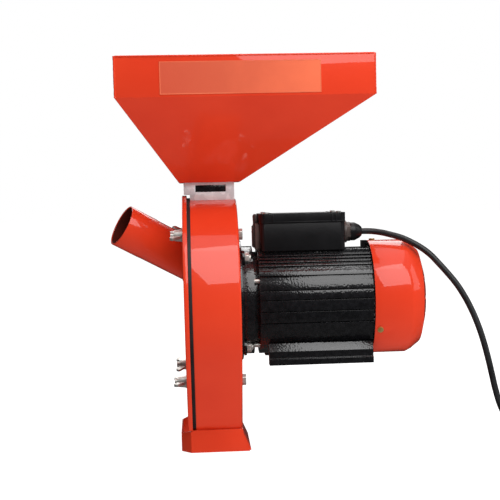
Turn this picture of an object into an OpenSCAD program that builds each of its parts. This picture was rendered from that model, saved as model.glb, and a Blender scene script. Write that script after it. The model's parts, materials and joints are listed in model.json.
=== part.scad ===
// Hammer mill with a direct single-phase motor drive.
// X runs along the shaft towards the fan, Z is up, and Y = 0 is the plane of symmetry.
// The origin is the middle of the motor foot's underside. Most modules are drawn about
// the shaft, with x = 0 at the back of the mill housing, and on_shaft() puts them in place.

/* [Placing] */
// Height of the shaft above the motor foot's underside
shaft_height = 84; // [80:1:90]
// Distance from the back of the mill housing to the middle of the motor foot
foot_middle = 109; // [105:1:115]

/* [Mill housing] */
// Outer radius of the drum
drum_r = 140; // [135:1:145]
// Depth of the housing from its front edge to its back plate
drum_depth = 62; // [60:1:66]
// Sheet thickness of the housing, neck and skirt
sheet = 2; // [1.5:0.5:3]
// Drop from the shaft to the crease above the outlet skirt
crease_drop = 167; // [160:1:175]
// Drop from the shaft to the foot of the outlet skirt
foot_drop = 197; // [192:1:205]
// Half width of the chute at the crease
chute_half = 62; // [58:1:68]

/* [Front cover] */
// Depth of the cover pan's rim
cover_rim = 6; // [5:0.5:8]
// How far the cover's outline stands outside the drum's
cover_lip = 5; // [3.5:0.5:7]
// Sheet thickness of the cover
cover_sheet = 1.5; // [1:0.5:2]
// Width of the rubber strip that shows between cover and housing
gasket_gap = 4.5; // [3:0.5:6]
// Outer radius of the inlet tube
tube_r = 28.5; // [25:0.5:30]
// Wall of the inlet tube
tube_wall = 2; // [1.5:0.5:3]
// Length of the inlet tube along its axis, from the cover to the mouth
tube_length = 98; // [80:1:110]
// Climb of the inlet tube away from the cover
tube_climb = 28; // [20:1:35]
// Sideways swing of the inlet tube
tube_swing = 20; // [0:1:25]
// Length of the collar at the tube's mouth that a sleeve slides over
tube_collar = 40; // [25:1:45]
// Height of the inlet tube's foot above the shaft
tube_foot = 61; // [55:1:64]

/* [Hopper] */
// Left edge of the hopper's mouth, measured from the housing's back
hopper_left = -152; // [-160:1:-130]
// Right edge of the hopper's mouth, measured from the housing's back
hopper_right = 178; // [150:1:190]
// Half depth of the hopper's mouth
hopper_half = 130; // [110:1:150]
// Height of the hopper's rim above the shaft
hopper_top = 320; // [300:1:330]
// Height of the bend between the skirt and the funnel, above the shaft
hopper_bend = 268; // [250:1:280]
// Height of the hopper's base above the shaft
hopper_base = 162; // [160:1:170]
// Sheet thickness of the hopper
hopper_sheet = 1.5; // [1:0.5:2]

/* [Rotor] */
// Radius of the circle that the hammer pins stand on
pin_circle = 58; // [56:1:60]
// Radius of a hammer pin
pin_r = 5; // [4:0.5:6]
// Reach of a hammer beyond its pin
hammer_reach = 40; // [36:1:41]
// Thickness of a hammer plate
hammer_t = 3; // [2:0.5:4]
// Inner radius of the sieve
sieve_r = 104; // [102:1:106]

/* [Motor] */
// Radius of the stator housing between its ribs
stator_r = 74; // [72:0.5:75]
// Radius over the stator housing's ribs
rib_r = 77; // [76:0.5:78]
// Outer radius of the fan cowl
cowl_r = 78; // [77.5:0.5:80]
// Radius of the shaft in the mill
shaft_r = 12; // [10:0.5:13]

/* [Cord] */
// Diameter of the power cord
cord_d = 8.5; // [8:0.5:9]

/* [Hidden] */
$fn = 64;
eps = 0.01;

// Colours
paint = "orangered";
black = "#1c1c1e";
zinc = "silver";
steel = "#8c8f93";

// Housing outline: the drum's circle runs into straight walls that meet the chute.
// The walls stand a hair inside the tangents, so they cross the circle cleanly.
wall_inset = 0.2;
wall_turn = atan(chute_half / crease_drop) + acos(drum_r / norm([chute_half, crease_drop]));
function wall_y(grow, z) = (drum_r + grow - wall_inset + z * cos(wall_turn)) / sin(wall_turn);

// Stations along the shaft, from the front of the mill to the fan
housing_front = -drum_depth;
gasket_front = housing_front - gasket_gap;
cover_front = gasket_front - cover_rim;
cover_inside = cover_front + cover_sheet;
flange_back = 5;
shield_back = 27;
stator_back = 178;
shield_end = 184;
cowl_front = 180;

// Through bolts, as [y, z]
bolt_y = 84;
bolt_spots = [[-bolt_y, 93], [-bolt_y, -98], [bolt_y, 93], [bolt_y, -98]];
bolt_r = 4;
motor_bolt_spots = [[-47, 60], [-47, -60], [47, 60], [47, -60]];
nut_bore = bolt_r + 0.08;
washer_t = 1.6;

// Feed neck and slide gate
neck_x = [-70, -2];
neck_half = 22;
gate_x = [-54.5, -13.5];
gate_z = [149.5, 151.5];

// Stator housing: each rib is a flat pad between two angles above the horizontal
ribs = [[53, 55], [48, 50], [43.5, 45.5], [39, 41], [28, 34], [13, 22.5], [3.5, 12], [-8, 2.5],
        [-20, -9], [-44, -21]];
bore_r = 65;
foot_z = -shaft_height;
foot_front = 38;
foot_hole_y = 54;
foot_hole_x = 50;
foot_hole_r = 4.25;

// Terminal box
box_x = [30, 146];
box_half = 45;
box_z = [68, 105, 118];
gland_at = [146, -14, 91];
switch_z = [88, 106];

// Hammer plates stand in six planes between the rotor discs
disc_x = [-58, -16];
disc_t = 4;
plane_pitch = (disc_x[1] - disc_x[0] - disc_t) / 6;
function plane_x(i) = disc_x[0] + disc_t + (i + 0.5) * plane_pitch;
pin_angles = [45, 135, 225, 315];
hammer_bore = pin_r + 0.08;
hammer_half = 11;

// Power cord: its route from the gland to the coil, in the part's own frame
cord_route = [
  [62, -14, 175], [74, -15, 174.7], [87, -18, 173], [101, -24, 169.5], [115, -30, 165],
  [128, -36, 158.5], [140, -41, 151], [151, -45, 142], [161, -48, 131], [172, -51, 118],
  [183, -54, 104], [193, -57, 88], [202, -60, 70], [210, -63, 50], [217, -65, 28],
  [223, -67, 4], [228, -69, -20], [233, -71, -44], [240, -73, -67], [251, -75, -87],
  [267, -76, -101], [286, -76, -108], [304, -76, -108.7], [320, -76, -108.7]
];
floor_z = shaft_height - foot_drop;
coil_mid_r = 47;
coil_turns_wide = 3;
coil_turns_high = 2;
coil_outer_r = coil_mid_r + (coil_turns_wide - 1) / 2 * cord_d;
coil_at = [330, -76 + coil_outer_r, floor_z];

// ---- Helpers ----

module on_shaft() translate([-foot_middle, 0, shaft_height]) children();

// Extrudes a drawing in the YZ plane from x0 to x1
module slab(x0, x1) translate([x0, 0, 0]) rotate([90, 0, 90]) linear_extrude(x1 - x0) children();

// Round bar along X
module bar(x0, x1, r, spot = [0, 0])
  translate([x0, spot[0], spot[1]]) rotate([0, 90, 0]) cylinder(h = x1 - x0, r = r);

// Round tube along X
module pipe(x0, x1, r_out, r_in, spot = [0, 0]) difference() {
  bar(x0, x1, r_out, spot);
  bar(x0 - 1, x1 + 1, r_in, spot);
}

// Solid of revolution about X, from [radius, x] points
module turned(points) rotate([0, 90, 0]) rotate_extrude(convexity = 6) polygon(points);

// Hexagon bar along X, measured across its flats
module hex_bar(x0, x1, flats, spot = [0, 0])
  translate([x0, spot[0], spot[1]]) rotate([0, 90, 0])
    cylinder(h = x1 - x0, r = flats / sqrt(3), $fn = 6);

// Box from one corner to the other
module block(low, high) translate(low) cube(high - low);

// Drum and chute outline, grown outwards; below moves its lower end past the crease
module outline(grow, below = 0) {
  bottom = -crease_drop - below;
  tangent = (drum_r + grow - wall_inset) * [sin(wall_turn), -cos(wall_turn)];
  circle(r = drum_r + grow, $fn = 128);
  polygon([
    [-tangent[0], tangent[1]], [-wall_y(grow, bottom), bottom],
    [wall_y(grow, bottom), bottom], tangent
  ]);
}

// Sector of the YZ plane between two angles from +Y
module sector(a0, a1, r) {
  steps = 8;
  polygon(concat([[0, 0]], [for (i = [0:steps])
    let (a = a0 + (a1 - a0) * i / steps) r * [cos(a), sin(a)]]));
}

// ---- Hopper and feed neck ----

// Inside or outside form of the hopper
module hopper_form(inset) {
  base_x = [-76, 6];
  base_half = 30;
  lift = inset > 0 ? hopper_sheet : 0;
  block([hopper_left + inset, -hopper_half + inset, hopper_bend],
        [hopper_right - inset, hopper_half - inset, hopper_top + inset]);
  hull() {
    block([hopper_left + inset, -hopper_half + inset, hopper_bend - eps],
          [hopper_right - inset, hopper_half - inset, hopper_bend]);
    block([base_x[0] + inset, -base_half + inset, hopper_base + lift],
          [base_x[1] - inset, base_half - inset, hopper_base + lift + eps]);
  }
}

module hopper() color(paint) on_shaft() difference() {
  hopper_form(0);
  hopper_form(hopper_sheet);
  block([neck_x[0] + sheet, -neck_half + sheet, hopper_base - 1],
        [neck_x[1] - sheet, neck_half - sheet, hopper_base + 5]);
  for (spot = [[-63, -14], [-63, 14], [-9, -14], [-9, 14]])
    translate([spot[0], spot[1], hopper_base - 1]) cylinder(h = 5, r = 2.6);
}

module hopper_panel() color("tomato") on_shaft()
  block([-95, -hopper_half - 0.6, 271], [108, -hopper_half, 312]);

module hopper_screws() color(zinc) on_shaft()
  for (spot = [[-63, -14], [-63, 14], [-9, -14], [-9, 14]])
    translate([spot[0], spot[1], hopper_base + hopper_sheet]) {
      cylinder(h = 3, r = 4.5);
      translate([0, 0, -9]) cylinder(h = 9, r = 2.5);
    }

module feed_neck() color("gainsboro") on_shaft() difference() {
  union() {
    difference() {
      block([neck_x[0], -neck_half, 120], [neck_x[1], neck_half, hopper_base]);
      block([neck_x[0] + sheet, -neck_half + sheet, 119],
            [neck_x[1] - sheet, neck_half - sheet, hopper_base + 1]);
    }
    // Guides beside the gate, each with a ledge under its edge
    for (side = [[neck_x[0] + 1, gate_x[0] - 0.5, 3.5], [gate_x[1] + 0.5, neck_x[1] - 1, -3.5]]) {
      ledge = [min(side[0], side[0] + side[2]), max(side[1], side[1] + side[2])];
      block([side[0], -neck_half + 1, gate_z[0] - 3], [side[1], neck_half - 1, hopper_base]);
      block([ledge[0], -neck_half + 1, gate_z[0] - 3], [ledge[1], neck_half - 1, gate_z[0] - 0.3]);
    }
  }
  slab(housing_front, neck_x[1] + 1) outline(0);
  block([neck_x[0] - 1, -neck_half - 1, 100], [housing_front, neck_half + 1, drum_r + cover_lip + 1]);
  block([gate_x[0] - 0.4, -neck_half - 1, gate_z[0] - 0.3], [gate_x[1] + 0.4, neck_half + 1, 159]);
  for (spot = [[-63, -14], [-63, 14], [-9, -14], [-9, 14]])
    translate([spot[0], spot[1], hopper_base - 8]) cylinder(h = 9, r = 2.6);
}

// Blade with an upright lip in the near slot and a folded grip beyond the far one
module slide_gate() color(black) on_shaft() {
  near = -neck_half + 0.6;
  block([gate_x[0], near, gate_z[0]], [gate_x[1], neck_half + 14, gate_z[1]]);
  block([gate_x[0], near, gate_z[0]], [gate_x[1], near + 1.5, gate_z[1] + 7]);
  block([gate_x[0] + 6, neck_half + 12, gate_z[0]], [gate_x[1] - 6, neck_half + 14, gate_z[1] + 11]);
}

// ---- Mill housing ----

module mill_housing() color(paint) on_shaft() difference() {
  union() {
    difference() {
      slab(housing_front, 0) outline(0);
      slab(housing_front - 1, -sheet) outline(-sheet, 5);
    }
    slab(housing_front, housing_front + sheet) difference() {
      outline(-sheet / 2);
      outline(-9, 5);
    }
  }
  block([neck_x[0] + 13, -neck_half + sheet, 100], [neck_x[1] - 7, neck_half - sheet, drum_r + 1]);
  bar(-10, 1, 20);
  for (spot = bolt_spots) bar(-10, 1, bolt_r + 0.5, spot);
  for (spot = motor_bolt_spots) bar(-10, 1, bolt_r + 0.5, spot);
}

module outlet_skirt() color(paint) on_shaft() {
  side_y = 66;
  front_x = -82;
  corner = [-69, 50];
  // Upright walls: two sides, two corner panels and the front
  difference() {
    translate([0, 0, -foot_drop]) linear_extrude(foot_drop - crease_drop - 1) difference() {
      polygon([[0, -side_y], [corner[0], -side_y], [front_x, -corner[1]],
               [front_x, corner[1]], [corner[0], side_y], [0, side_y]]);
      polygon([[1, sheet - side_y], [corner[0] + 1, sheet - side_y], [front_x + sheet, 1 - corner[1]],
               [front_x + sheet, corner[1] - 1], [corner[0] + 1, side_y - sheet], [1, side_y - sheet]]);
    }
    // The top edge falls away towards the front
    translate([front_x, 0, -crease_drop - 5]) rotate([0, -15, 0])
      block([-20, -side_y, 0], [14, side_y, 20]);
  }
  // Rear wall, flared outwards, with a gusset at each end
  flare = [[-sheet, -crease_drop - 1], [0, -crease_drop - 1], [1, -crease_drop - 7],
           [11, -foot_drop], [9, -foot_drop], [-sheet, -crease_drop - 7]];
  translate([0, side_y - 6, 0]) rotate([90, 0, 0]) linear_extrude(2 * side_y - 12) polygon(flare);
  for (y = [-side_y, side_y - sheet])
    translate([0, y + sheet, 0]) rotate([90, 0, 0]) linear_extrude(sheet)
      polygon([[-3, -crease_drop - 1], [0, -crease_drop - 1], [1, -crease_drop - 7],
               [8, -foot_drop], [-3, -foot_drop]]);
  for (y = [-side_y + 1, side_y - 7])
    translate([0, y + 6, 0]) rotate([90, 0, 0]) linear_extrude(6)
      polygon([[-1, -crease_drop - 7], [1, -crease_drop - 7], [9, -foot_drop], [7, -foot_drop]]);
  // Ledge that closes the skirt against the chute's walls
  difference() {
    block([corner[0] + 2, -side_y, -crease_drop - 1], [0, side_y, -crease_drop]);
    block([housing_front + sheet, -chute_half + sheet, -crease_drop - 2],
          [-sheet, chute_half - sheet, -crease_drop + 1]);
  }
}

module cover_gasket() color(black) on_shaft() slab(cover_inside, housing_front) difference() {
  outline(1.5, -3);
  outline(-6, 5);
}

// ---- Sieve ----

sieve_open = 35;

module sieve_arc(r_out, r_in) difference() {
  circle(r = r_out, $fn = 128);
  circle(r = r_in, $fn = 128);
  sector(90 - sieve_open, 90 + sieve_open, 2 * r_out);
}

module sieve() color(steel) on_shaft() difference() {
  slab(-69, -4) sieve_arc(sieve_r + 1.5, sieve_r);
  for (row = [0:4], column = [0:25])
    rotate([-(sieve_open + 7 + column * 11), 0, 0])
      translate([-60 + row * 12, 0, sieve_r - 2]) cylinder(h = 5, r = 3.5, $fn = 16);
}

module sieve_ring() color(steel) on_shaft() slab(-10, -sheet) sieve_arc(sieve_r + 5, sieve_r + 2.2);

// ---- Front cover and what it carries ----

module tube_axis() translate([cover_front, 0, tube_foot])
  rotate([0, 0, tube_swing]) rotate([0, tube_climb, 0]) rotate([0, -90, 0]) children();

module front_cover() color(paint) on_shaft() difference() {
  union() {
    difference() {
      slab(cover_front, gasket_front) outline(cover_lip, -0.5);
      slab(cover_inside, gasket_front + 1) outline(cover_lip - cover_sheet, 5);
    }
    slab(cover_inside - 0.5, cover_inside + 8) sieve_arc(sieve_r + 5, sieve_r + 2.2);
  }
  tube_axis() translate([0, 0, -60]) cylinder(h = 120, r = tube_r - tube_wall);
  for (spot = bolt_spots) bar(cover_front - 1, 0, bolt_r + 0.5, spot);
}

module inlet_tube() color(paint) on_shaft() intersection() {
  tube_axis() difference() {
    union() {
      translate([0, 0, -60]) cylinder(h = tube_length + 60, r = tube_r - 0.3);
      translate([0, 0, tube_length - tube_collar]) cylinder(h = tube_collar, r = tube_r);
    }
    translate([0, 0, -61]) cylinder(h = tube_length + 62, r = tube_r - tube_wall);
  }
  block([-300, -150, -50], [cover_front, 150, 250]);
}

module cover_washers() color(zinc) on_shaft()
  for (spot = bolt_spots) pipe(cover_front - washer_t, cover_front, 8.5, bolt_r + 0.4, spot);

module wing_nut(index, turn) color(zinc) on_shaft() {
  spot = bolt_spots[index];
  base = cover_front - washer_t;
  translate([base, spot[0], spot[1]]) rotate([turn, 0, 0]) difference() {
    union() {
      turned([[0, 0], [8, 0], [7, -9], [0, -9]]);
      for (side = [0, 180]) rotate([side, 0, 0]) wing();
    }
    bar(-20, 1, nut_bore);
  }
}

// One wing of a wing nut: a leaf that leans away from the cover, with a round tip
module wing() translate([0, 0, -1.75]) linear_extrude(3.5) {
  polygon([[-1, 5.5], [-1, 8], [-9, 15.5], [-14, 13.5], [-9, 6], [-8, 5.5]]);
  translate([-11.2, 13]) circle(r = 3.6);
}

module through_bolts() color(zinc) on_shaft() for (spot = bolt_spots) {
  bar(cover_front - washer_t - 14, 0, bolt_r, spot);
  hex_bar(0, 5.3, 13, spot);
}

// ---- Motor ----

module adapter_flange() color(black) on_shaft() difference() {
  bar(0, flange_back, 82);
  bar(-1, 6, 20);
  for (spot = motor_bolt_spots) bar(-1, 6, bolt_r + 0.5, spot);
}

module motor_bolts() color(zinc) on_shaft() for (spot = motor_bolt_spots) {
  hex_bar(-sheet - 5.3, -sheet, 13, spot);
  bar(-sheet, 17, bolt_r, spot);
  hex_bar(8.5, 15, 13, spot);
}

tie_angles = [25, 155, -58, 238];
tie_circle = 69.5;
function tie_spot(a) = tie_circle * [cos(a), sin(a)];

module front_shield() color(black) on_shaft() difference() {
  union() {
    turned([[14, 5], [74, 5], [74, 20], [66, 20], [66, 27], [60, 27], [60, 12], [32, 12], [32, 27],
            [26, 27], [26, 12], [14, 12]]);
    for (spot = motor_bolt_spots) bar(flange_back, 8.5, 11, spot);
  }
  for (spot = motor_bolt_spots) {
    bar(8.5, 28, 9, spot);
    bar(0, 9, bolt_r + 0.5, spot);
  }
  for (a = tie_angles) bar(12, 28, 3.01, tie_spot(a));
}

// Ribs of one side, with the seat of the terminal box
module rib_profile() {
  for (rib = ribs) polygon([
    (stator_r - 2) * [cos(rib[0]), sin(rib[0])], rib_r * [cos(rib[0]), sin(rib[0])],
    rib_r * [cos(rib[1]), sin(rib[1])], (stator_r - 2) * [cos(rib[1]), sin(rib[1])]
  ]);
  square([38, box_z[0]]);
}

// Web and rail of one side of the foot
module foot_profile() polygon([
  [61, -66], [50, -52], [44, -60], [44, foot_z], [64, foot_z], [64, foot_z + 8], [61, foot_z + 9]
]);

module stator_housing() color(black) on_shaft() difference() {
  union() {
    slab(shield_back, stator_back) circle(r = stator_r, $fn = 128);
    for (side = [0, 1]) mirror([0, side, 0]) {
      slab(shield_back, stator_back) rib_profile();
      slab(foot_front, stator_back) foot_profile();
    }
  }
  slab(shield_back - 1, stator_back + 1) translate([-60, box_z[0]]) square([120, 20]);
  bar(shield_back - 1, stator_back + 1, bore_r);
  for (a = tie_angles) bar(shield_back - 1, stator_back + 1, 3.1, tie_spot(a));
  for (x = [-foot_hole_x, foot_hole_x], y = [-foot_hole_y, foot_hole_y])
    translate([foot_middle + x, y, foot_z - 1]) cylinder(h = 15, r = foot_hole_r);
}

slot_count = 24;
core_x = [52, 150];

module stator_core() color(steel) on_shaft() difference() {
  pipe(core_x[0], core_x[1], bore_r, 42.5);
  for (i = [0:slot_count - 1]) rotate([i * 360 / slot_count, 0, 0])
    block([core_x[0] - 1, -3, 46], [core_x[1] + 1, 3, 57]);
}

module stator_windings() color("peru") on_shaft() {
  for (x = [core_x[0] - 14, core_x[1]]) pipe(x, x + 14, 58, 46);
  for (i = [0:slot_count - 1]) rotate([i * 360 / slot_count, 0, 0])
    block([core_x[0] - 1, -2.8, 46.2], [core_x[1] + 1, 2.8, 56.8]);
}

cowl_screw_angles = [90, -30, 210];

module rear_shield() color(black) on_shaft() difference() {
  union() {
    turned([[12, 184], [73, 184], [73, 178], [64, 178], [64, 172], [60, 172], [60, 180], [30, 180],
            [30, 166], [23.5, 166], [23.5, 180], [12, 180]]);
    for (a = cowl_screw_angles) rotate([a, 0, 0])
      block([stator_back, 62, -8], [stator_back + 14, cowl_r - 1.8, 8]);
    block([172, -8, box_z[0]], [cowl_front - 0.5, 8, cowl_r]);
  }
  for (a = tie_angles) bar(170, 190, 3.1, tie_spot(a));
  for (a = cowl_screw_angles) rotate([a, 0, 0]) translate([187, 64, 0]) rotate([-90, 0, 0])
    cylinder(h = 20, r = 2.05);
}

module tie_bolts() color(zinc) on_shaft() for (a = tie_angles) {
  bar(14, shield_end, 3, tie_spot(a));
  hex_bar(shield_end, shield_end + 4, 10, tie_spot(a));
}

cowl_wall = 1.5;

module fan_cowl() color(paint) on_shaft() difference() {
  turned([
    [cowl_r, cowl_front], [cowl_r, 228], [cowl_r - 4, 236], [cowl_r - 13, 247.5], [43, 254], [12, 257.5],
    [0, 258], [0, 258 - cowl_wall], [12, 257.5 - cowl_wall], [43, 254 - cowl_wall],
    [cowl_r - 14, 247.5 - cowl_wall], [cowl_r - 5, 236 - cowl_wall / 2], [cowl_r - cowl_wall, 228],
    [cowl_r - cowl_wall, cowl_front]
  ]);
  for (ring = [[22, 32], [37, 47], [52, 60]], i = [0:11]) rotate([i * 30, 0, 0])
    block([245, -2.5, ring[0]], [262, 2.5, ring[1]]);
  for (a = cowl_screw_angles) rotate([a, 0, 0]) translate([187, 60, 0]) rotate([-90, 0, 0])
    cylinder(h = 30, r = 2.6);
}

module cowl_screws() color("goldenrod") on_shaft()
  for (a = cowl_screw_angles) rotate([a, 0, 0]) translate([187, 0, 0]) rotate([-90, 0, 0]) {
    translate([0, 0, 66]) cylinder(h = cowl_r - 66, r = 2);
    translate([0, 0, cowl_r]) cylinder(h = 2.2, r = 4);
  }

// ---- Bearings and seal ----

// Outer ring and balls of a bearing; the inner races turn with the shaft
module ball_bearing(x0, x1, r_out, r_in) {
  pitch = (r_out + r_in) / 2;
  ball = (r_out - r_in) / 4 + 0.4;
  pipe(x0, x1, r_out, pitch + ball - 1);
  for (i = [0:8]) rotate([i * 40, 0, 0]) translate([(x0 + x1) / 2, 0, pitch]) sphere(r = ball, $fn = 24);
}

module front_bearing() color(steel) on_shaft() ball_bearing(12, 27, 26, 12.5);

module rear_bearing() color(steel) on_shaft() ball_bearing(166, 180, 23.5, 10);

module bearing_races() color(steel) on_shaft() {
  pipe(12, 27, 15.2, 12.5);
  pipe(166, 180, 12.7, 10);
}

module shaft_seal() color(black) on_shaft() pipe(-sheet, flange_back, 20, shaft_r + 0.06);

// ---- Terminal box ----

module round_rect(x0, x1, half, r) {
  for (x = [x0 + r, x1 - r], y = [-half + r, half - r]) translate([x, y]) circle(r = r, $fn = 32);
  translate([x0 + r, -half]) square([x1 - x0 - 2 * r, 2 * half]);
  translate([x0, -half + r]) square([x1 - x0, 2 * half - 2 * r]);
}

lid_screw_spots = [for (x = [box_x[0] + 9, box_x[1] - 9], y = [-box_half + 9, box_half - 9]) [x, y]];

module box_base() color(black) on_shaft() difference() {
  union() {
    difference() {
      translate([0, 0, box_z[0]]) linear_extrude(box_z[1] - box_z[0])
        round_rect(box_x[0] + 1, box_x[1] - 1, box_half - 1, 6);
      translate([0, 0, box_z[0] + 2.5]) linear_extrude(60)
        round_rect(box_x[0] + 3.5, box_x[1] - 3.5, box_half - 3.5, 4);
    }
    for (spot = lid_screw_spots) translate([spot[0], spot[1], box_z[0] + 1]) cylinder(h = 40, r = 4);
  }
  for (spot = lid_screw_spots) translate([spot[0], spot[1], box_z[1] - 12]) cylinder(h = 30, r = 2.05);
  bar(box_x[1] - 10, box_x[1] + 1, 9, [gland_at[1], gland_at[2]]);
  block([box_x[0], -13, switch_z[0]], [box_x[0] + 5, 13, box_z[1] + 1]);
}

module box_lid() color(black) on_shaft() difference() {
  translate([0, 0, box_z[1]]) linear_extrude(box_z[2] - box_z[1])
    round_rect(box_x[0], box_x[1], box_half, 7);
  translate([0, 0, box_z[1] - 1]) linear_extrude(box_z[2] - box_z[1] - 1.5)
    round_rect(box_x[0] + 2.5, box_x[1] - 2.5, box_half - 2.5, 5);
  for (spot = lid_screw_spots) translate([spot[0], spot[1], box_z[2] - 10]) cylinder(h = 20, r = 2.05);
}

module lid_screws() color(zinc) on_shaft() for (spot = lid_screw_spots)
  translate([spot[0], spot[1], box_z[2]]) {
    cylinder(h = 1.6, r = 3.5);
    translate([0, 0, -12]) cylinder(h = 12, r = 2);
  }

module capacitors() color("whitesmoke") on_shaft() {
  bar(44, 118, 17, [-21, box_z[0] + 20]);
  bar(50, 118, 14, [23, box_z[0] + 17]);
}

module terminal_block() color("ivory") on_shaft() difference() {
  block([120, 8, box_z[0] + 2.5], [132, 38, box_z[0] + 15]);
  for (y = [13, 20, 27, 34]) translate([126, y, box_z[0] + 8]) cylinder(h = 10, r = 2);
}

module switch_frame() color("dimgray") on_shaft() difference() {
  block([25, -17, box_z[0] + 1], [box_x[0] + 1, 17, box_z[1]]);
  block([24, -12, switch_z[0]], [box_x[0] + 2, 12, switch_z[1]]);
}

module switch_rocker() color("black") on_shaft()
  translate([0, 11, 0]) rotate([90, 0, 0]) linear_extrude(22) polygon([
    [29.5, 107], [29.5, 117], [25, 118], [23, 115], [23.5, 105], [21, 93], [22, 90], [24.8, 90],
    [28, 102]
  ]);

module cable_gland() color(black) on_shaft() {
  spot = [gland_at[1], gland_at[2]];
  difference() {
    union() {
      bar(gland_at[0] - 8, gland_at[0] - 1, 9, spot);
      bar(gland_at[0] - 1, gland_at[0], 12, spot);
      bar(gland_at[0], gland_at[0] + 4, 15, spot);
      hex_bar(gland_at[0] + 4, gland_at[0] + 9, 23, spot);
    }
    bar(gland_at[0] - 9, gland_at[0] + 10, cord_d / 2 + 0.2, spot);
  }
}

module gland_nut() color(black) on_shaft() translate([gland_at[0] + 9, gland_at[1], gland_at[2]])
  turned([[cord_d / 2, 0], [12.5, 0], [12.5, 6], [9, 13], [6, 16], [cord_d / 2, 16]]);

// ---- Power cord ----

// Smooth curve through the route: Catmull-Rom, with the ends repeated
function route_point(i) = cord_route[max(0, min(len(cord_route) - 1, i))];
function curve_point(i, t) = let (
    a = route_point(i - 1), b = route_point(i), c = route_point(i + 1), d = route_point(i + 2)
  ) 0.5 * (2 * b + (c - a) * t + (2 * a - 5 * b + 4 * c - d) * t * t + (3 * b - a - 3 * c + d) * t * t * t);
ring_steps = 2;
cord_points = concat(
  [for (i = [0:len(cord_route) - 2], s = [0:ring_steps - 1]) curve_point(i, s / ring_steps)],
  [route_point(len(cord_route) - 1)]
);
cord_sides = 10;
function unit(v) = v / norm(v);
function heading(i) = unit(cord_points[min(len(cord_points) - 1, i + 1)] - cord_points[max(0, i - 1)]);
function ring_point(i, k) = let (
    along = heading(i), across = unit(cross(along, [0, 1, 0])), third = cross(along, across),
    a = 360 * k / cord_sides
  ) cord_points[i] + cord_d / 2 * (across * cos(a) + third * sin(a));

module power_cord() color(black) {
  rings = len(cord_points);
  polyhedron(
    points = [for (i = [0:rings - 1], k = [0:cord_sides - 1]) ring_point(i, k)],
    faces = concat(
      [[for (k = [0:cord_sides - 1]) k]],
      [for (i = [0:rings - 2], k = [0:cord_sides - 1]) let (n = (k + 1) % cord_sides)
        [i * cord_sides + k, (i + 1) * cord_sides + k, (i + 1) * cord_sides + n, i * cord_sides + n]],
      [[for (k = [cord_sides - 1:-1:0]) (rings - 1) * cord_sides + k]]
    )
  );
}

module cord_coil() color(black) translate(coil_at) rotate_extrude() {
  wide = coil_turns_wide * cord_d;
  translate([coil_mid_r - wide / 2, 0]) square([wide, coil_turns_high * cord_d]);
}

module coil_tie() color("dimgray") translate(coil_at) difference() {
  wide = coil_turns_wide * cord_d;
  block([-6, coil_mid_r - wide / 2 - 1.5, 0],
        [6, coil_mid_r + wide / 2 + 1.5, coil_turns_high * cord_d + 1.5]);
  block([-7, coil_mid_r - wide / 2, -1], [7, coil_mid_r + wide / 2, coil_turns_high * cord_d]);
}

// Two-pin plug beside the coil, lying along Y on its own rim
module mains_plug() color(black)
  translate([coil_at[0] + coil_outer_r, coil_at[1] + 20, floor_z + 18.5]) rotate([-90, 0, 0]) {
    cylinder(h = 30, r1 = 5.5, r2 = 8);
    translate([0, 0, 30]) cylinder(h = 20, r1 = 13, r2 = 16);
    translate([0, 0, 50]) cylinder(h = 14, r = 18.5);
    for (x = [-9.5, 9.5]) translate([x, 0, 64]) cylinder(h = 19, r = 2.4);
  }

// ---- Rotor ----

module motor_shaft() color(zinc) on_shaft() difference() {
  union() {
    bar(-69, -60, 8);
    bar(-60, 12, shaft_r);
    bar(12, 27, 12.5);
    bar(27, 166, 17);
    bar(166, 180, 10);
    bar(180, 224, 8);
  }
  block([-50, -3, shaft_r - 3.5], [-20, 3, shaft_r + 3]);
}

module shaft_key() color(steel) on_shaft() block([-50, -3, shaft_r - 3.5], [-20, 3, shaft_r + 2.8]);

module rotor_core() color(steel) on_shaft() {
  pipe(core_x[0] - 8, core_x[1] + 8, 40, 17);
  pipe(core_x[0], core_x[1], 42, 39);
}

module cooling_fan() color(black) on_shaft() {
  pipe(198, 222, 14, 8);
  pipe(198, 200.5, 62, 13);
  for (i = [0:7]) rotate([i * 45, 0, 0]) block([200, -1.2, 13], [222, 1.2, 62]);
}

module mill_hub() color(steel) on_shaft() difference() {
  pipe(-60, -8, 17, shaft_r);
  block([-61, -3, 0], [-7, 3, shaft_r + 2.8]);
}

module rotor_discs() color(steel) on_shaft() difference() {
  for (x = disc_x) pipe(x, x + disc_t, 72, 17);
  for (a = pin_angles) bar(-70, 0, pin_r, pin_circle * [cos(a), sin(a)]);
}

module hammer_pins() color(zinc) on_shaft() for (a = pin_angles) {
  spot = pin_circle * [cos(a), sin(a)];
  bar(disc_x[0] - 3, disc_x[1] + disc_t, pin_r, spot);
  bar(disc_x[1] + disc_t, disc_x[1] + disc_t + 2.5, pin_r + 2, spot);
}

// Each pin holds three hammers, in every second plane
module hammer_spacers() color(zinc) on_shaft() for (i = [0:3]) {
  spot = pin_circle * [cos(pin_angles[i]), sin(pin_angles[i])];
  planes = [for (k = [0:2]) plane_x(2 * k + i % 2)];
  gap = hammer_t / 2 + 0.3;
  ends = concat([disc_x[0] + disc_t], [for (x = planes) x + gap]);
  starts = concat([for (x = planes) x - gap], [disc_x[1]]);
  for (k = [0:3]) if (starts[k] - ends[k] > 0.5) pipe(ends[k], starts[k], pin_r + 3, pin_r, spot);
}

module shaft_nut() color(zinc) on_shaft() {
  difference() {
    hex_bar(-68, -61, 24);
    bar(-70, -50, 8);
  }
  pipe(-61, -60, 15, 8);
}

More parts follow.
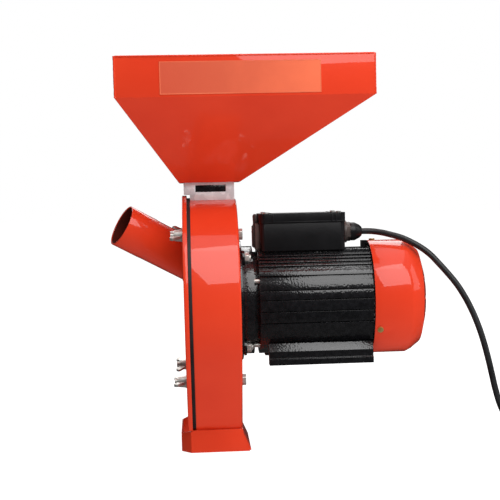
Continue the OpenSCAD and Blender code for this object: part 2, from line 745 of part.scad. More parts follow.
// Three plates that hang from pin number i
module hammer_set(i) color(steel) on_shaft() {
  spot = pin_circle * [cos(pin_angles[i]), sin(pin_angles[i])];
  for (k = [0:2]) translate([plane_x(2 * k + i % 2) - hammer_t / 2, spot[0], spot[1]])
    slab(0, hammer_t) difference() {
      union() {
        circle(r = hammer_half);
        translate([-hammer_half, -hammer_reach + 2]) square([2 * hammer_half, hammer_reach - 2]);
        translate([-hammer_half + 2, -hammer_reach]) square([2 * hammer_half - 4, 5]);
      }
      circle(r = hammer_bore);
    }
}

// ---- Nodes ----

hopper();
hopper_panel();
hopper_screws();
feed_neck();
slide_gate();
mill_housing();
outlet_skirt();
cover_gasket();
sieve();
sieve_ring();
through_bolts();
front_cover();
inlet_tube();
cover_washers();
wing_nut(0, 15);  // wing_nut_1
wing_nut(1, 10);  // wing_nut_2
wing_nut(2, -30);  // wing_nut_3
wing_nut(3, 25);  // wing_nut_4
adapter_flange();
motor_bolts();
front_shield();
stator_housing();
stator_core();
stator_windings();
rear_shield();
tie_bolts();
fan_cowl();
cowl_screws();
front_bearing();
rear_bearing();
bearing_races();
shaft_seal();
box_base();
box_lid();
lid_screws();
capacitors();
terminal_block();
switch_frame();
switch_rocker();
cable_gland();
gland_nut();
power_cord();
cord_coil();
coil_tie();
mains_plug();
motor_shaft();
rotor_core();
cooling_fan();
mill_hub();
shaft_key();
rotor_discs();
hammer_pins();
hammer_spacers();
shaft_nut();
hammer_set(0);  // hammers_1
hammer_set(1);  // hammers_2
hammer_set(2);  // hammers_3
hammer_set(3);  // hammers_4
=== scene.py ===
"""Looks of the hammer mill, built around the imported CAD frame. Metres, +Z up, X along the shaft."""
import json
import math

import bmesh
import bpy
from mathutils import Matrix, Vector, noise


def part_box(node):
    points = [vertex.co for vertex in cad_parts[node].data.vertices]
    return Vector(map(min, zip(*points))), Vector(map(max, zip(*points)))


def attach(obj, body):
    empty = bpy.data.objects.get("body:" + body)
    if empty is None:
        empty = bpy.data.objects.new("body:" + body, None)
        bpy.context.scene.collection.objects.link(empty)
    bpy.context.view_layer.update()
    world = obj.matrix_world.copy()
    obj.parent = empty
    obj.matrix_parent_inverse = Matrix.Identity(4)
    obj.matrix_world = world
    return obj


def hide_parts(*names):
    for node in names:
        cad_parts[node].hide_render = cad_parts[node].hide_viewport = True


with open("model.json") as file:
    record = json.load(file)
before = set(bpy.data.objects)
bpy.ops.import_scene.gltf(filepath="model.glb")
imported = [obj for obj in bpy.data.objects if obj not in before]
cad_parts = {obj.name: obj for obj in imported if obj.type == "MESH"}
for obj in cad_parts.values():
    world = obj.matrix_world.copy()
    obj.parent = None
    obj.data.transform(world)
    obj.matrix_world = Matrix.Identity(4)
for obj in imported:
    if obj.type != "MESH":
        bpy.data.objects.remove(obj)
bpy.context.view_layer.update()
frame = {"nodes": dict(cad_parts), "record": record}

MM = 0.001
FLOOR_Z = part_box("outlet_skirt")[0].z
SHAFT_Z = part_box("adapter_flange")[0].z * 0.5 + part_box("adapter_flange")[1].z * 0.5
HOUSING_LO, HOUSING_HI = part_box("mill_housing")
HOPPER_LO, HOPPER_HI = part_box("hopper")
COVER_LO, COVER_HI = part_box("front_cover")
BOX_LO, BOX_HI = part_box("box_lid")


# ---- Camera ----

CAMERA_AT = Vector((-0.161, -1.6535, 0.223))
CAMERA_YAW = 0.07508
CAMERA_PITCH = 0.06898
CAMERA_ROLL = -0.02317
CAMERA_SHIFT = (-0.08, 0.0616)
FOCAL_PIXELS = 1203.6
FRAME_PIXELS = 500


def make_camera():
    data = bpy.data.cameras.new("camera")
    data.sensor_width = 36
    data.lens = FOCAL_PIXELS / FRAME_PIXELS * data.sensor_width
    data.shift_x, data.shift_y = CAMERA_SHIFT
    camera = bpy.data.objects.new("camera", data)
    bpy.context.scene.collection.objects.link(camera)
    forward = Vector((math.sin(CAMERA_YAW), math.cos(CAMERA_YAW), 0))
    up = Vector((0, 0, 1))
    look = forward * math.cos(CAMERA_PITCH) - up * math.sin(CAMERA_PITCH)
    top = up * math.cos(CAMERA_PITCH) + forward * math.sin(CAMERA_PITCH)
    side = look.cross(top)
    right = side * math.cos(CAMERA_ROLL) + top * math.sin(CAMERA_ROLL)
    top = top * math.cos(CAMERA_ROLL) - side * math.sin(CAMERA_ROLL)
    axes = Matrix((right, top, -look)).transposed().to_4x4()
    camera.matrix_world = Matrix.Translation(CAMERA_AT) @ axes
    bpy.context.scene.camera = camera


make_camera()


# ---- Materials ----

def srgb(red, green, blue):
    """Linear colour from 0-255 screen values."""
    def linear(value):
        value /= 255
        return value / 12.92 if value <= 0.04045 else ((value + 0.055) / 1.055) ** 2.4
    return (linear(red), linear(green), linear(blue), 1)


class Shader:
    """A node material: a Principled shader with helpers for its procedural inputs."""

    def __init__(self, name, **fixed):
        self.material = bpy.data.materials.new(name)
        self.material.use_nodes = True
        self.tree = self.material.node_tree
        self.bsdf = self.tree.nodes["Principled BSDF"]
        self.place = self.tree.nodes.new("ShaderNodeTexCoord").outputs["Object"]
        for socket, value in fixed.items():
            self.bsdf.inputs[socket.replace("_", " ")].default_value = value

    def node(self, kind, **inputs):
        made = self.tree.nodes.new("ShaderNode" + kind)
        for socket, value in inputs.items():
            target = made.inputs[socket.replace("_", " ")]
            if isinstance(value, bpy.types.NodeSocket):
                self.tree.links.new(value, target)
            else:
                target.default_value = value
        return made

    def stretch(self, scale):
        """The object's coordinates, scaled along each axis."""
        return self.node("Mapping", Vector=self.place, Scale=scale).outputs["Vector"]

    def noise(self, scale, detail=2.0, place=None):
        return self.node("TexNoise", Vector=place or self.place, Scale=scale,
                         Detail=detail).outputs["Fac"]

    def cells(self, scale, place=None):
        return self.node("TexVoronoi", Vector=place or self.place, Scale=scale).outputs["Distance"]

    def ramp(self, value, stops):
        made = self.node("ValToRGB", Fac=value)
        ramp = made.color_ramp
        for element, stop in zip(ramp.elements, stops):
            element.position, element.color = stop
        for position, color in stops[2:]:
            ramp.elements.new(position).color = color
        return made.outputs["Color"]

    def between(self, value, low, high):
        """Maps 0..1 to low..high."""
        made = self.node("MapRange", Value=value, To_Min=low, To_Max=high)
        return made.outputs["Result"]

    def math(self, operation, first, second=0.0):
        made = self.tree.nodes.new("ShaderNodeMath")
        made.operation = operation
        for socket, value in zip(made.inputs, (first, second)):
            if isinstance(value, bpy.types.NodeSocket):
                self.tree.links.new(value, socket)
            else:
                socket.default_value = value
        return made.outputs["Value"]

    def color(self, output):
        self.tree.links.new(output, self.bsdf.inputs["Base Color"])
        return self

    def rough(self, output):
        self.tree.links.new(output, self.bsdf.inputs["Roughness"])
        return self

    def bump(self, height, distance, strength=1.0, under=None):
        made = self.node("Bump", Height=height, Distance=distance, Strength=strength)
        if under:
            self.tree.links.new(under, made.inputs["Normal"])
        self.tree.links.new(made.outputs["Normal"], self.bsdf.inputs["Normal"])
        return made.outputs["Normal"]


def painted(name, dark, light):
    """Gloss powder coat: cloudy tone, fine orange peel and a clear top layer."""
    made = Shader(name, Coat_Weight=0.8, Coat_Roughness=0.035, Specular_IOR_Level=0.1)
    made.color(made.ramp(made.noise(11, 3), [(0.3, dark), (0.7, light)]))
    made.rough(made.between(made.noise(70, 4), 0.32, 0.45))
    peel = made.bump(made.noise(24, 2), 0.0004, 0.2)
    made.bump(made.noise(480, 1), 0.00003, 0.5, peel)
    return made.material


def crinkled(name, dark, light, cell, depth):
    """Wrinkle-finish black paint that breaks a highlight into speckles."""
    made = Shader(name, Specular_IOR_Level=0.15, Coat_Weight=1.0, Coat_Roughness=0.05)
    made.color(made.ramp(made.noise(180, 3), [(0.35, dark), (0.7, light)]))
    made.rough(made.between(made.noise(420, 3), 0.2, 0.35))
    lumps = made.math("ADD", made.cells(cell), made.noise(cell * 0.8, 2))
    made.tree.links.new(made.bump(lumps, depth), made.bsdf.inputs["Coat Normal"])
    return made.material


def metal(name, dark, light, rough, streak=(1, 1, 1), scale=90, bump=0.00008):
    """Bare or plated metal: cloudy tone, streaks along the stretched axis."""
    made = Shader(name, Metallic=0.75)
    place = made.stretch(streak)
    made.color(made.ramp(made.noise(scale, 4, place), [(0.3, dark), (0.7, light)]))
    made.rough(made.between(made.noise(scale * 3, 4, place), rough * 0.75, rough * 1.3))
    made.bump(made.noise(scale * 6, 3, place), bump, 0.7)
    return made.material


def moulded(name, dark, light, rough, grain=700, depth=0.00005, **fixed):
    """Moulded plastic or rubber with a fine spark-eroded grain."""
    made = Shader(name, **fixed)
    made.color(made.ramp(made.noise(30, 3), [(0.35, dark), (0.65, light)]))
    made.rough(made.between(made.noise(90, 3), rough - 0.07, rough + 0.08))
    made.bump(made.noise(grain, 2), depth, 0.8)
    return made.material


def galvanised(name):
    """Zinc-coated sheet with its spangle."""
    made = Shader(name, Metallic=0.15)
    spangle = made.node("TexVoronoi", Vector=made.place, Scale=130.0).outputs["Color"]
    tone = made.node("RGBToBW", Color=spangle).outputs["Val"]
    made.color(made.ramp(tone, [(0.0, srgb(216, 208, 210)), (1.0, srgb(246, 240, 241))]))
    made.rough(made.between(tone, 0.38, 0.52))
    made.bump(made.noise(300, 2), 0.00004, 0.6)
    return made.material


def film(name):
    """Satin film of the hopper's panel: random cloudy tone plus a painted highlight that makes it paler
    towards its +X end, where light from that side falls; its fine light border is a separate piece.
    """
    low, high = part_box("hopper_panel")
    made = Shader(name, Coat_Weight=0.3, Coat_Roughness=0.2)
    axes = made.node("SeparateXYZ", Vector=made.place)
    # Painted light: a gradient along X lightens the +X end as painted highlight, added to random cloudy
    # tone.
    along = made.node("MapRange", Value=axes.outputs["X"], From_Min=low.x, From_Max=high.x)
    tone_and_painted_light = made.math("ADD", made.math("MULTIPLY", along.outputs["Result"], 0.8),
                      made.math("MULTIPLY", made.noise(30, 3), 0.3))
    made.color(made.ramp(tone_and_painted_light, [(0.1, srgb(212, 78, 46)), (0.95, srgb(250, 112, 68)),
                                 (0.5, srgb(218, 88, 52))]))
    made.rough(made.between(made.noise(260, 2), 0.36, 0.46))
    made.bump(made.noise(900, 1), 0.00003, 0.5)
    return made.material


def stacked(name, dark, light, pitch=0.0016):
    """Electrical-steel laminations: fine lines across the shaft."""
    made = Shader(name, Metallic=0.9)
    axes = made.node("SeparateXYZ", Vector=made.place)
    wave = made.math("SINE", made.math("MULTIPLY", axes.outputs["X"], 2 * math.pi / pitch))
    made.color(made.ramp(made.between(wave, 0, 1), [(0.0, dark), (1.0, light)]))
    made.rough(made.between(made.noise(200, 3), 0.35, 0.5))
    made.bump(wave, 0.0002, 0.8)
    return made.material


def wound(name, dark, light, pitch=0.0017):
    """Enamelled winding wire, laced into a ring about the shaft."""
    made = Shader(name, Metallic=0.7, Coat_Weight=0.5)
    warped = made.math("ADD", made.math("MULTIPLY", made.node(
        "SeparateXYZ", Vector=made.place).outputs["X"], 2 * math.pi / pitch),
        made.math("MULTIPLY", made.noise(40, 2), 9.0))
    wave = made.math("SINE", warped)
    made.color(made.ramp(made.between(wave, 0, 1), [(0.0, dark), (1.0, light)]))
    made.rough(made.between(made.noise(160, 2), 0.25, 0.4))
    made.bump(wave, 0.0003, 0.9)
    return made.material


ORANGE_DARK, ORANGE = (0.74, 0.042, 0.012, 1), (0.80, 0.052, 0.016, 1)
MATERIALS = {
    "orange_paint": painted("orange_paint", ORANGE_DARK, ORANGE),
    "panel_film": film("panel_film"),
    "galvanised": galvanised("galvanised"),
    "zinc": metal("zinc", srgb(196, 194, 188), srgb(236, 234, 228), 0.4),
    "steel": metal("steel", srgb(118, 118, 120), srgb(168, 168, 170), 0.34, (8, 1, 1)),
    "black_paint": crinkled("black_paint", (0.006, 0.006, 0.007, 1), (0.016, 0.016, 0.018, 1),
                            430, 0.00011),
    "black_aluminium": crinkled("black_aluminium", (0.006, 0.006, 0.007, 1),
                                (0.012, 0.012, 0.014, 1), 400, 0.00015),
    "black_plastic": moulded("black_plastic", (0.006, 0.006, 0.007, 1), (0.010, 0.010, 0.0115, 1),
                             0.36, 800, Specular_IOR_Level=0.35),
    "grey_plastic": moulded("grey_plastic", srgb(104, 92, 88), srgb(126, 114, 108), 0.45),
    "boot_plastic": moulded("boot_plastic", srgb(62, 54, 52), srgb(84, 72, 68), 0.35),
    "rubber": moulded("rubber", (0.010, 0.009, 0.009, 1), (0.018, 0.016, 0.016, 1), 0.62),
    "cord_pvc": moulded("cord_pvc", (0.010, 0.011, 0.012, 1), (0.022, 0.023, 0.025, 1), 0.4, 240,
                        0.00008),
    "copper": wound("copper", srgb(120, 48, 22), srgb(214, 122, 66)),
    "laminations": stacked("laminations", srgb(70, 70, 74), srgb(150, 150, 154)),
    "white_plastic": moulded("white_plastic", srgb(214, 212, 204), srgb(236, 234, 228), 0.35),
    "brass_screw": metal("brass_screw", srgb(206, 172, 96), srgb(244, 222, 150), 0.42),
}

# Painted shade: dark red colour for a lining inside the inlet tube, standing in for the shade in its
# bore.
INLET_SHADE = moulded("inlet_painted_shade", srgb(74, 22, 15), srgb(92, 28, 19), 0.8,
                 Specular_IOR_Level=0.1)
PANEL_EDGE = painted("panel_edge", srgb(228, 104, 72), srgb(238, 122, 88))

for entry in frame["record"]["subparts"]:
    finish = MATERIALS[entry["material_slot"]]
    node = frame["nodes"][entry["node"]]
    node.data.materials.clear()
    node.data.materials.append(finish)


# ---- Making pieces ----

def add_piece(name, mesh, slot, body="root", smooth_below=35):
    """Links a mesh as a piece that rides on a body, smooth-shaded except at real edges."""
    piece = bpy.data.objects.new(name, mesh)
    bpy.context.scene.collection.objects.link(piece)
    for face in mesh.polygons:
        face.use_smooth = True
    mesh.set_sharp_from_angle(angle=math.radians(smooth_below))
    mesh.materials.clear()
    mesh.materials.append(MATERIALS[slot])
    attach(piece, body)
    return piece


def from_bmesh(name, bm, slot, body="root", smooth_below=35):
    mesh = bpy.data.meshes.new(name)
    bmesh.ops.recalc_face_normals(bm, faces=bm.faces)
    bm.to_mesh(mesh)
    bm.free()
    return add_piece(name, mesh, slot, body, smooth_below)


def softened(node, width, body="root", segments=2, pick=None, min_angle=28):
    """Stands a copy of a CAD node, with its real edges rounded, in for the node itself."""
    source = frame["nodes"][node]
    bm = bmesh.new()
    bm.from_mesh(source.data)
    bmesh.ops.remove_doubles(bm, verts=bm.verts, dist=1e-5)
    bmesh.ops.dissolve_limit(bm, angle_limit=math.radians(0.8), verts=bm.verts, edges=bm.edges)
    edges = [edge for edge in bm.edges
             if len(edge.link_faces) == 2 and edge.calc_face_angle() > math.radians(min_angle)
             and edge.calc_length() > 1.2 * width and (pick is None or pick(edge))]
    bmesh.ops.bevel(bm, geom=edges, offset=width, offset_type="OFFSET", segments=segments,
                    profile=0.5, affect="EDGES", clamp_overlap=True)
    slot = next(e["material_slot"] for e in frame["record"]["subparts"] if e["node"] == node)
    piece = from_bmesh(node + "_shell", bm, slot, body)
    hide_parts(node)
    return piece


def sweep(bm, path, radius, sides=8, closed=False, bumps=0.0):
    """Adds a tube along a path; bumps varies its radius, as a weld bead does."""
    rings = []
    count = len(path)
    for i, point in enumerate(path):
        before = path[(i - 1) % count] if closed or i else path[i]
        after = path[(i + 1) % count] if closed or i < count - 1 else path[i]
        along = (after - before).normalized()
        across = along.orthogonal().normalized() if not rings else None
        if rings:
            across = (last_across - along * last_across.dot(along)).normalized()
        last_across = across
        third = along.cross(across)
        size = radius * (1 + bumps * noise.noise(point * 400))
        rings.append([bm.verts.new(point + size * (across * math.cos(2 * math.pi * k / sides)
                                                   + third * math.sin(2 * math.pi * k / sides)))
                      for k in range(sides)])
    pairs = list(zip(rings, rings[1:])) + ([(rings[-1], rings[0])] if closed else [])
    for low, high in pairs:
        for k in range(sides):
            n = (k + 1) % sides
            bm.faces.new((low[k], low[n], high[n], high[k]))
    if not closed:
        bm.faces.new(rings[0][::-1])
        bm.faces.new(rings[-1])


def lathe(bm, profile, origin, axis, steps=40):
    """Adds a solid of revolution from (radius, distance) points along an axis."""
    axis = axis.normalized()
    across = axis.orthogonal().normalized()
    third = axis.cross(across)
    rings = []
    for radius, distance in profile:
        centre = origin + axis * distance
        if radius < 1e-6:
            rings.append([bm.verts.new(centre)])
            continue
        rings.append([bm.verts.new(centre + radius * (across * math.cos(2 * math.pi * k / steps)
                                                      + third * math.sin(2 * math.pi * k / steps)))
                      for k in range(steps)])
    for low, high in zip(rings, rings[1:]):
        for k in range(steps):
            n = (k + 1) % steps
            corners = [low[k % len(low)], low[n % len(low)], high[n % len(high)], high[k % len(high)]]
            unique = list(dict.fromkeys(corners))
            if len(unique) > 2:
                bm.faces.new(unique)


def slab(bm, low, high, rounding=0.0, segments=2):
    """Adds a box between two corners, with rounded edges."""
    made = bmesh.ops.create_cube(bm, size=1)["verts"]
    low, high = Vector(low), Vector(high)
    for vertex in made:
        vertex.co = Vector(((low[i] + high[i]) / 2 + vertex.co[i] * (high[i] - low[i])
                            for i in range(3)))
    if rounding:
        edges = list({edge for vertex in made for edge in vertex.link_edges})
        bmesh.ops.bevel(bm, geom=edges, offset=rounding, offset_type="OFFSET", segments=segments,
                        profile=0.5, affect="EDGES", clamp_overlap=True)


# ---- Power cord ----

CORD_D = 0.0085
CORD_ROUTE = [
    (62, -14, 175), (74, -15, 174.7), (87, -18, 173), (101, -24, 169.5), (115, -30, 165),
    (128, -36, 158.5), (140, -41, 151), (151, -45, 142), (161, -48, 131), (172, -51, 118),
    (183, -54, 104), (193, -57, 88), (202, -60, 70), (210, -63, 50), (217, -65, 28),
    (223, -67, 4), (228, -69, -20), (233, -71, -44), (240, -73, -67), (251, -75, -87),
    (267, -76, -101), (286, -76, -108), (304, -76, -108.7), (320, -76, -108.7),
]
COIL_MID = 0.047
COIL_OUTER = COIL_MID + CORD_D
COIL_AT = Vector((0.330, -0.076 + COIL_OUTER, FLOOR_Z))


def coil_path():
    """Three lower turns from the outside in, then the upper ones from the inside out."""
    crossing = 40
    slots = [(1, 0), (0, 0), (-1, 0), (-1, 1), (0, 1), (1, 1)]
    angle, (side, level) = -90, slots[0]
    stages = []
    for turn, (next_side, next_level) in enumerate(slots[1:]):
        stages += [(250 + 360 * turn, side, level), (250 + crossing + 360 * turn, next_side, next_level)]
        side, level = next_side, next_level
    stages.append((360 * len(slots[1:]), side, level))
    side, level = slots[0]
    points = []
    for end, next_side, next_level in stages:
        steps = max(2, round((end - angle) / 12))
        for i in range(1, steps + 1):
            share = i / steps
            ease = share * share * (3 - 2 * share)
            turn = math.radians(angle + (end - angle) * share)
            radius = COIL_MID + CORD_D * (side + (next_side - side) * ease)
            height = CORD_D * (0.5 + level + (next_level - level) * ease)
            points.append(COIL_AT + Vector((radius * math.cos(turn), radius * math.sin(turn),
                                            height)))
        angle, side, level = end, next_side, next_level
    return points


def make_cord():
    route = [Vector(point) * MM for point in CORD_ROUTE]
    lead = [COIL_AT + Vector((COIL_OUTER, y, z)) for y, z in
            ((0.007, 0.0137), (0.014, 0.0165), (0.0205, 0.0183))]
    points = route + coil_path() + lead
    data = bpy.data.curves.new("power_cord_lead", "CURVE")
    data.dimensions = "3D"
    data.bevel_depth = CORD_D / 2
    data.bevel_resolution = 4
    data.resolution_u = 4
    data.use_fill_caps = True
    spline = data.splines.new("BEZIER")
    spline.bezier_points.add(len(points) - 1)
    for knot, point in zip(spline.bezier_points, points):
        knot.co = point
        knot.handle_left_type = knot.handle_right_type = "AUTO"
    data.materials.append(MATERIALS["cord_pvc"])
    cord = bpy.data.objects.new("power_cord_lead", data)
    bpy.context.scene.collection.objects.link(cord)
    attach(cord, "root")
    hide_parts("power_cord", "cord_coil")
    return cord, points


def make_plug():
    """Round two-pin plug: ribbed relief, waisted grip and face disc."""
    origin = COIL_AT + Vector((COIL_OUTER, 0.02, 0.0185))
    body = bmesh.new()
    relief = []
    for i in range(6):
        base = 0.0052 + 0.0005 * i
        relief += [(base, 0.0045 * i), (base + 0.0012, 0.0045 * i + 0.0007),
                   (base + 0.0012, 0.0045 * i + 0.0027), (base, 0.0045 * i + 0.0034)]
    profile = [(0, 0)] + relief + [
        (0.0085, 0.028), (0.0125, 0.0305), (0.0132, 0.034), (0.0127, 0.040), (0.0138, 0.046),
        (0.0160, 0.0495), (0.0178, 0.0505), (0.0185, 0.052), (0.0185, 0.062), (0.0178, 0.0637),
        (0, 0.064)]
    lathe(body, profile, origin, Vector((0, 1, 0)))
    plug = from_bmesh("mains_plug_body", body, "rubber", smooth_below=50)
    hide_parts("mains_plug")
    pins = bmesh.new()
    for side in (-1, 1):
        at = origin + Vector((0.0095 * side, 0.0635, 0))
        lathe(pins, [(0, 0), (0.0024, 0), (0.0024, 0.0175), (0.0019, 0.0192), (0, 0.0195)], at,
              Vector((0, 1, 0)), 20)
    return plug, from_bmesh("mains_plug_pins", pins, "zinc")


def make_tie():
    """Wire tie round the coil's turns: two closed loops side by side."""
    bm = bmesh.new()
    wide, high = 1.5 * CORD_D + 0.0008, 2 * CORD_D + 0.0008
    centre = COIL_AT + Vector((0, COIL_MID, 0))
    loop = [(-wide, 0.0007), (wide, 0.0007), (wide + 0.0004, high / 2), (wide, high),
            (-wide, high), (-wide - 0.0004, high / 2)]
    for shift in (-0.0012, 0.0012):
        sweep(bm, [centre + Vector((shift, y, z)) for y, z in loop], 0.0009, 6, closed=True)
    tie = from_bmesh("coil_tie_wire", bm, "boot_plastic", smooth_below=60)
    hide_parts("coil_tie")
    return tie


cord, cord_points = make_cord()
plug, plug_pins = make_plug()
tie = make_tie()


# ---- Sheet-metal shells ----

def on_drum_back(edge):
    """Outline edge at the back of the housing, where the sheet is pressed round."""
    middle = (edge.verts[0].co + edge.verts[1].co) / 2
    spread = math.hypot(middle.y, middle.z - SHAFT_Z)
    return middle.x > HOUSING_HI.x - 0.0002 and spread > 0.5 * (HOUSING_HI.y - HOUSING_LO.y) - 0.003


for node, width, body in (
    ("hopper", 0.0007, "root"), ("outlet_skirt", 0.0007, "root"), ("feed_neck", 0.0005, "root"),
    ("slide_gate", 0.0005, "gate"), ("box_base", 0.0009, "root"), ("box_lid", 0.0014, "root"),
    ("adapter_flange", 0.0008, "root"), ("front_shield", 0.0008, "root"),
    ("stator_housing", 0.0006, "root"), ("rear_shield", 0.0006, "root"),
    ("cable_gland", 0.0006, "root"), ("gland_nut", 0.0007, "root"),
    ("wing_nut_1", 0.0007, "wing_nut_a"), ("wing_nut_2", 0.0007, "wing_nut_b"),
    ("wing_nut_3", 0.0007, "wing_nut_c"), ("wing_nut_4", 0.0007, "wing_nut_d"),
    ("through_bolts", 0.0005, "root"), ("motor_bolts", 0.0005, "root"),
    ("tie_bolts", 0.0004, "root"), ("switch_frame", 0.0008, "root"),
    ("switch_rocker", 0.0009, "rocker"), ("front_cover", 0.0006, "cover"),
    ("inlet_tube", 0.0005, "cover"), ("fan_cowl", 0.0005, "root"),
):
    softened(node, width, body)
softened("mill_housing", 0.003, "root", segments=4, pick=on_drum_back, min_angle=60)


# ---- Details the sheet and castings carry ----

def make_hopper_details():
    """Rolled rim and welded corner seams."""
    low, high = HOPPER_LO, HOPPER_HI
    inset = 0.0006
    corners = [Vector((x, y, high.z - 0.0011)) for x, y in
               ((low.x + inset, low.y + inset), (high.x - inset, low.y + inset),
                (high.x - inset, high.y - inset), (low.x + inset, high.y - inset))]
    rim = bmesh.new()
    path = []
    for start, end in zip(corners, corners[1:] + corners[:1]):
        path += [start.lerp(end, share) for share in (0.008, 0.25, 0.5, 0.75, 0.992)]
    sweep(rim, path, 0.0014, 8, closed=True)
    from_bmesh("hopper_rim_bead", rim, "orange_paint", smooth_below=60)

    seams = bmesh.new()
    for x, inward in ((low.x, 1), (high.x, -1)):
        for y, front in ((low.y, 1), (high.y, -1)):
            at = Vector((x + 0.0012 * inward, y + 0.0012 * front, 0))
            steps = 26
            seam = [at + Vector((0, 0, high.z - 0.052 + 0.050 * k / steps)) for k in range(steps + 1)]
            sweep(seams, seam, 0.0015, 7, bumps=0.25)
    from_bmesh("hopper_corner_welds", seams, "orange_paint", smooth_below=60)


def make_panel_border():
    low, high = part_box("hopper_panel")
    y, edge = low.y - 0.0001, 0.0013
    border = bmesh.new()
    x0, x1, z0, z1 = low.x, high.x, low.z, high.z
    for a, b in (((x0, z0), (x1, z0 + edge)), ((x0, z1 - edge), (x1, z1)),
                 ((x0, z0 + edge), (x0 + edge, z1 - edge)), ((x1 - edge, z0 + edge), (x1, z1 - edge))):
        slab(border, (a[0], y, a[1]), (b[0], y + 0.0003, b[1]))
    piece = from_bmesh("panel_border", border, "panel_film")
    piece.data.materials[0] = PANEL_EDGE


def make_tube_details():
    """Bead where the inlet tube passes through the cover, and a dark lining inside it as painted shade of
    the tube's bore.
    """
    radius, climb, swing = 0.0282, math.radians(28), math.radians(20)
    lean = Vector((-math.cos(climb) * math.cos(swing), -math.cos(climb) * math.sin(swing),
                   math.sin(climb)))
    across = lean.cross(Vector((0, 0, 1))).normalized()
    third = lean.cross(across)
    foot = Vector((COVER_LO.x, 0, SHAFT_Z + 0.061))
    # Painted shade: a thin dark ring just inside the tube's bore darkens it as shade would.
    shade_lining = bmesh.new()
    lathe(shade_lining, [(0.02648, 0.012), (0.02648, 0.0973), (0.0263, 0.0973), (0.0263, 0.012),
                   (0.02648, 0.012)], foot, lean, 64)
    piece = from_bmesh("inlet_painted_shade", shade_lining, "orange_paint", "cover", smooth_below=60)
    piece.data.materials[0] = INLET_SHADE
    bead = []
    for k in range(72):
        turn = 2 * math.pi * k / 72
        side = foot + radius * (across * math.cos(turn) + third * math.sin(turn))
        reach = (COVER_LO.x - 0.0004 - side.x) / lean.x
        bead.append(side + lean * reach)
    bm = bmesh.new()
    sweep(bm, bead, 0.0022, 8, closed=True, bumps=0.4)
    from_bmesh("inlet_weld", bm, "orange_paint", "cover", smooth_below=60)


def make_box_details():
    """Seam line and moulded ribs of the terminal box's lid."""
    bm = bmesh.new()
    left, right = BOX_LO.x, BOX_HI.x
    for y, out in ((BOX_LO.y, -1), (BOX_HI.y, 1)):
        for x in (left + 0.017, right - 0.020, right - 0.0145):
            near, far = sorted((y - 0.0006 * out, y + 0.0009 * out))
            slab(bm, (x, near, BOX_LO.z + 0.001), (x + 0.0022, far, BOX_HI.z - 0.001), 0.0004)
        near, far = sorted((y - 0.0006 * out, y + 0.0007 * out))
        slab(bm, (left + 0.003, near, BOX_LO.z + 0.0006), (right - 0.003, far, BOX_LO.z + 0.0022), 0.0003)
    slab(bm, (left + 0.016, BOX_LO.y + 0.012, BOX_HI.z - 0.0006),
         (left + 0.0175, BOX_HI.y - 0.012, BOX_HI.z + 0.0007), 0.0003)
    slab(bm, (right - 0.0185, BOX_LO.y + 0.012, BOX_HI.z - 0.0006),
         (right - 0.017, BOX_HI.y - 0.012, BOX_HI.z + 0.0007), 0.0003)
    from_bmesh("box_lid_ribs", bm, "black_plastic")


def solid_boxes(node):
    """Corners of each separate solid of a node."""
    mesh = frame["nodes"][node].data
    bm = bmesh.new()
    bm.from_mesh(mesh)
    bmesh.ops.remove_doubles(bm, verts=bm.verts, dist=1e-6)
    left, boxes = set(bm.verts), []
    while left:
        group, queue = [], [left.pop()]
        while queue:
            vertex = queue.pop()
            group.append(vertex.co)
            for edge in vertex.link_edges:
                other = edge.other_vert(vertex)
                if other in left:
                    left.remove(other)
                    queue.append(other)
        boxes.append((Vector([min(c[i] for c in group) for i in range(3)]),
                      Vector([max(c[i] for c in group) for i in range(3)])))
    bm.free()
    return boxes


def make_recess_painted_shade():
    """Painted shade: dark crosses on the small screws of the lid, the cowl and the hopper, standing in
    for the shade in their cross recesses.
    """
    bm = bmesh.new()
    for name in ("lid_screws", "cowl_screws", "hopper_screws"):
        for low, high in solid_boxes(name):
            size = high - low
            axis = min(range(3), key=lambda i: size[i]) if name != "lid_screws" else 2
            middle = (low + high) / 2
            out = -1 if axis != 2 and middle[axis] < 0 else 1
            face = high[axis] if out > 0 else low[axis]
            reach = 0.3 * min(size[i] for i in range(3) if i != axis)
            for wide in (i for i in range(3) if i != axis):
                half = Vector((0.0005,) * 3)
                half[wide], half[axis] = reach, 0.0001
                centre = middle.copy()
                centre[axis] = face + 0.00005 * out
                slab(bm, centre - half, centre + half)
    # Painted shade: thin dark slabs over each screw head, not real recesses.
    from_bmesh("screw_recess_painted_shade", bm, "boot_plastic")


def make_switch_rim():
    """Raised rim round the rocker."""
    low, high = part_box("switch_frame")
    bm = bmesh.new()
    slab(bm, (low.x - 0.0035, low.y + 0.003, low.z + 0.003),
         (low.x + 0.0004, high.y - 0.003, high.z - 0.003), 0.0014, 3)
    from_bmesh("switch_splash_rim", bm, "boot_plastic")


make_hopper_details()
make_panel_border()
make_tube_details()
make_box_details()
make_recess_painted_shade()
make_switch_rim()


# ---- Studio ----

def make_floor():
    bm = bmesh.new()
    bmesh.ops.create_grid(bm, x_segments=2, y_segments=2, size=20)
    mesh = bpy.data.meshes.new("floor")
    bm.to_mesh(mesh)
    bm.free()
    floor = bpy.data.objects.new("floor", mesh)
    bpy.context.scene.collection.objects.link(floor)
    floor.location.z = FLOOR_Z
    pale = Shader("floor_paper", Roughness=1.0, Specular_IOR_Level=0.0,
                  Emission_Color=(1, 1, 1, 1), Emission_Strength=0.94)
    pale.color(pale.ramp(pale.noise(3, 2), [(0.3, (0.28, 0.28, 0.28, 1)), (0.7, (0.3, 0.3, 0.3, 1))]))
    mesh.materials.append(pale.material)
    floor.visible_glossy = False
    floor.visible_diffuse = False


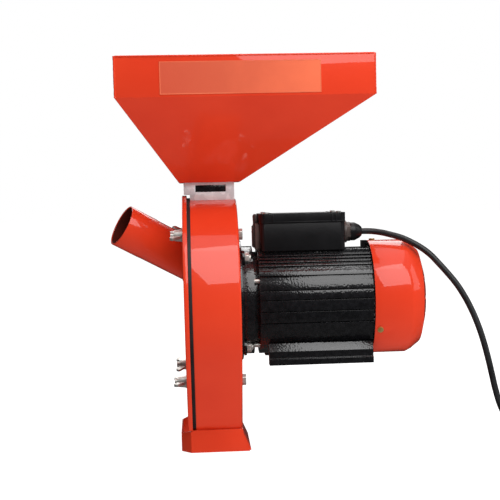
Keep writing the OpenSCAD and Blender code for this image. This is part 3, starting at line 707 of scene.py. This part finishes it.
def make_light(name, azimuth, elevation, distance, size, power):
    """Soft box that faces the machine from a compass direction."""
    centre = Vector((-0.05, 0, 0.12))
    a, e = math.radians(azimuth), math.radians(elevation)
    away = Vector((math.sin(a) * math.cos(e), -math.cos(a) * math.cos(e), math.sin(e)))
    data = bpy.data.lights.new(name, "AREA")
    data.shape = "RECTANGLE"
    data.size, data.size_y = size
    data.energy = power
    light = bpy.data.objects.new(name, data)
    bpy.context.scene.collection.objects.link(light)
    light.location = centre + away * distance
    light.rotation_euler = (-away).to_track_quat("-Z", "Y").to_euler()
    light.visible_camera = False


def make_world():
    """White to the eye, even to the diffuse light, and dark at the horizon in reflections."""
    world = bpy.data.worlds.new("studio")
    world.use_nodes = True
    bpy.context.scene.world = world
    tree = world.node_tree
    tree.nodes.clear()

    def add(kind):
        return tree.nodes.new("ShaderNode" + kind)

    def gradient(stops):
        """Grey background that changes with height, from straight down to straight up."""
        ramp = add("ValToRGB")
        for element, (position, value) in zip(ramp.color_ramp.elements, stops):
            element.position, element.color = position, (value, value, value, 1)
        for position, value in stops[2:]:
            ramp.color_ramp.elements.new(position).color = (value, value, value, 1)
        background = add("Background")
        tree.links.new(shift.outputs["Result"], ramp.inputs["Fac"])
        tree.links.new(ramp.outputs["Color"], background.inputs["Color"])
        return background

    place, axes, shift, path = add("TexCoord"), add("SeparateXYZ"), add("MapRange"), add("LightPath")
    left = add("MapRange")
    left.inputs["From Min"].default_value = -0.9
    left.inputs["From Max"].default_value = -0.1
    left.inputs["To Min"].default_value = 0.12
    tree.links.new(axes.outputs["X"], left.inputs["Value"])
    shift.inputs["From Min"].default_value = -1
    tree.links.new(place.outputs["Generated"], axes.inputs[0])
    tree.links.new(axes.outputs["Z"], shift.inputs["Value"])
    even = gradient([(0.0, 1.6), (1.0, 0.6), (0.3, 1.3), (0.5, 0.44)])
    tree.links.new(left.outputs["Result"], even.inputs["Strength"])
    gloss = gradient([(0.0, 0.10), (1.0, 0.5), (0.02, 0.09), (0.13, 0.08), (0.16, 0.03),
                      (0.75, 0.03)])
    seen = add("Background")
    seen.inputs["Color"].default_value = (1, 1, 1, 1)
    first, second, out = add("MixShader"), add("MixShader"), add("OutputWorld")
    for mix, flag, low, high in ((first, "Is Glossy Ray", even, gloss),
                                 (second, "Is Camera Ray", first, seen)):
        tree.links.new(path.outputs[flag], mix.inputs[0])
        tree.links.new(low.outputs[0], mix.inputs[1])
        tree.links.new(high.outputs[0], mix.inputs[2])
    tree.links.new(second.outputs[0], out.inputs["Surface"])


make_floor()
make_world()
make_light("key", 22, 43.5, 2.2, (1.6, 1.7), 31)
make_light("right_fill", 75, 25, 2.4, (1.0, 1.6), 8)
make_light("top", 0, 88, 2.0, (2.2, 2.2), 13)
make_light("back", 190, 40, 2.4, (2.6, 1.35), 32)
bpy.context.scene.view_settings.view_transform = "Standard"
